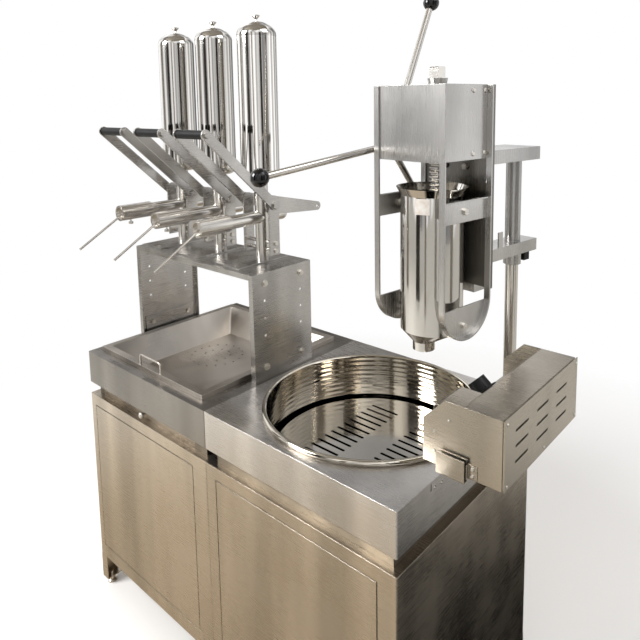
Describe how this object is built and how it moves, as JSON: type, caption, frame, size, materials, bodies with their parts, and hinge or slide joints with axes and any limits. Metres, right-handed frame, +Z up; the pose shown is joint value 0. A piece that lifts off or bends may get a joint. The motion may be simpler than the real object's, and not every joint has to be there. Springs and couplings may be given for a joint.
{
  "type": "churro maker",
  "caption": "Stainless churro station: sugar tray under lever fillers, a round fryer with lift-off control head, and a swinging rack-and-pinion dough press on twin cabinets",
  "frame": {"origin": "on the floor, in the middle of the sole of the left cabinet's inner front foot", "axes": "+X along the worktop from the sugar tray to the fryer, +Y to the back, +Z up"},
  "size_m": [1.3682, 0.7374, 1.8244],
  "materials": {
    "satin_stainless": "brushed stainless sheet, satin",
    "polished_stainless": "mirror-polished stainless tube",
    "plain_steel": "machined and zinc-plated steel",
    "black_grip": "matt black moulded plastic",
    "black_ball": "glossy black phenolic",
    "element_tube": "heat-darkened stainless sheath"
  },
  "bodies": {
    "station": {"cabinet_left": "satin_stainless", "cabinet_right": "satin_stainless", "cabinet_legs": "plain_steel", "levelling_feet": "black_grip", "door_hinge_pins": "plain_steel", "worktop_plinths": "satin_stainless", "worktop_left": "satin_stainless", "worktop_right": "satin_stainless", "bridge_plate": "satin_stainless", "bridge_legs": "satin_stainless", "bridge_angles": "satin_stainless", "station_bolts": "plain_steel", "filler_base_plates": "satin_stainless", "filler_posts": "polished_stainless", "filler_cheeks": "satin_stainless", "filler_sleeves": "polished_stainless", "filler_clamp_screws": "plain_steel", "filler_spouts": "polished_stainless", "hopper_left": "polished_stainless", "hopper_middle": "polished_stainless", "hopper_right": "polished_stainless", "fryer_pan": "satin_stainless", "press_post": "polished_stainless"},
    "left_door": {"door_left": "satin_stainless"},
    "right_door": {"door_right": "satin_stainless"},
    "drawer": {"crumb_drawer": "satin_stainless", "drawer_knob": "polished_stainless"},
    "tray": {"sugar_tray": "satin_stainless"},
    "head": {"head_case": "satin_stainless", "vent_cover": "satin_stainless", "lead_cover": "satin_stainless", "head_clip": "satin_stainless", "head_screws": "plain_steel", "heating_element": "element_tube"},
    "dial": {"thermostat_dial": "black_grip"},
    "grid": {"slotted_grid": "satin_stainless"},
    "press": {"swing_hanger": "satin_stainless", "press_back_plate": "satin_stainless", "press_side_frames": "satin_stainless", "press_side_plates": "satin_stainless", "press_cylinder": "polished_stainless", "press_nozzle": "polished_stainless", "gear_frame": "plain_steel", "gear_cover": "satin_stainless", "press_bolts": "plain_steel"},
    "lock": {"swing_lock": "black_ball"},
    "wheel": {"pinion_shaft": "plain_steel", "wheel_spokes": "polished_stainless", "wheel_balls": "black_ball"},
    "rack": {"press_rack": "plain_steel", "press_piston": "polished_stainless"},
    "lever_left": {"filler_lever_left": "satin_stainless", "lever_grip_left": "black_grip"},
    "lid_left": {"hopper_lid_left": "polished_stainless"},
    "lever_middle": {"filler_lever_middle": "satin_stainless", "lever_grip_middle": "black_grip"},
    "lid_middle": {"hopper_lid_middle": "polished_stainless"},
    "lever_right": {"filler_lever_right": "satin_stainless", "lever_grip_right": "black_grip"},
    "lid_right": {"hopper_lid_right": "polished_stainless"}
  },
  "joints": [
    {"name": "left_door_hinge", "type": "hinge", "parent": "station", "child": "left_door", "pos_m": [-0.541, -0.014, 0.386], "axis": [0, 0, -1], "range_deg": [0, 110]},
    {"name": "right_door_hinge", "type": "hinge", "parent": "station", "child": "right_door", "pos_m": [0.56, -0.014, 0.386], "axis": [0, 0, 1], "range_deg": [0, 110]},
    {"name": "crumb_drawer_slide", "type": "slide", "parent": "station", "child": "drawer", "axis": [0, -1, 0], "range_m": [0, 0.35]},
    {"name": "sugar_tray_lift", "type": "slide", "parent": "station", "child": "tray", "axis": [0, 0, 1], "range_m": [0, 0.15]},
    {"name": "fryer_head_lift", "type": "slide", "parent": "station", "child": "head", "axis": [0, 0, 1], "range_m": [0, 0.06]},
    {"name": "thermostat_turn", "type": "hinge", "parent": "head", "child": "dial", "pos_m": [0.64643, 0.272, 0.93843], "axis": [0.7071, 0, -0.7071], "range_deg": [0, 270]},
    {"name": "slotted_grid_lift", "type": "slide", "parent": "head", "child": "grid", "axis": [0, 0, 1], "range_m": [0, 0.1]},
    {"name": "press_swing", "type": "hinge", "parent": "station", "child": "press", "pos_m": [0.58, 0.54, 1.3], "axis": [0, 0, 1], "range_deg": [-20, 95]},
    {"name": "swing_lock_turn", "type": "hinge", "parent": "press", "child": "lock", "pos_m": [0.58, 0.54, 1.1735], "axis": [0.1444, 0.9895, 0], "range_deg": [0, 360]},
    {"name": "wheel_turn", "type": "hinge", "parent": "press", "child": "wheel", "pos_m": [0.53402, 0.22483, 1.474], "axis": [0.9895, -0.1444, 0], "range_deg": [-584, 472]},
    {"name": "rack_travel", "type": "slide", "parent": "press", "child": "rack", "axis": [0, 0, 1], "range_m": [-0.13, 0.105]},
    {"name": "lever_hinge_left", "type": "hinge", "parent": "station", "child": "lever_left", "pos_m": [-0.476, 0.283, 1.284], "axis": [1, 0, 0], "range_deg": [0, 50]},
    {"name": "lid_lift_left", "type": "slide", "parent": "station", "child": "lid_left", "axis": [0, 0, 1], "range_m": [0, 0.1]},
    {"name": "lever_hinge_middle", "type": "hinge", "parent": "station", "child": "lever_middle", "pos_m": [-0.28, 0.283, 1.284], "axis": [1, 0, 0], "range_deg": [0, 50]},
    {"name": "lid_lift_middle", "type": "slide", "parent": "station", "child": "lid_middle", "axis": [0, 0, 1], "range_m": [0, 0.1]},
    {"name": "lever_hinge_right", "type": "hinge", "parent": "station", "child": "lever_right", "pos_m": [-0.084, 0.283, 1.284], "axis": [1, 0, 0], "range_deg": [0, 50]},
    {"name": "lid_lift_right", "type": "slide", "parent": "station", "child": "lid_right", "axis": [0, 0, 1], "range_m": [0, 0.1]}
  ],
  "couplings": [
    {"joint": "rack_travel", "follows": "wheel_turn", "m_per_rad": 0.012732}
  ]
}
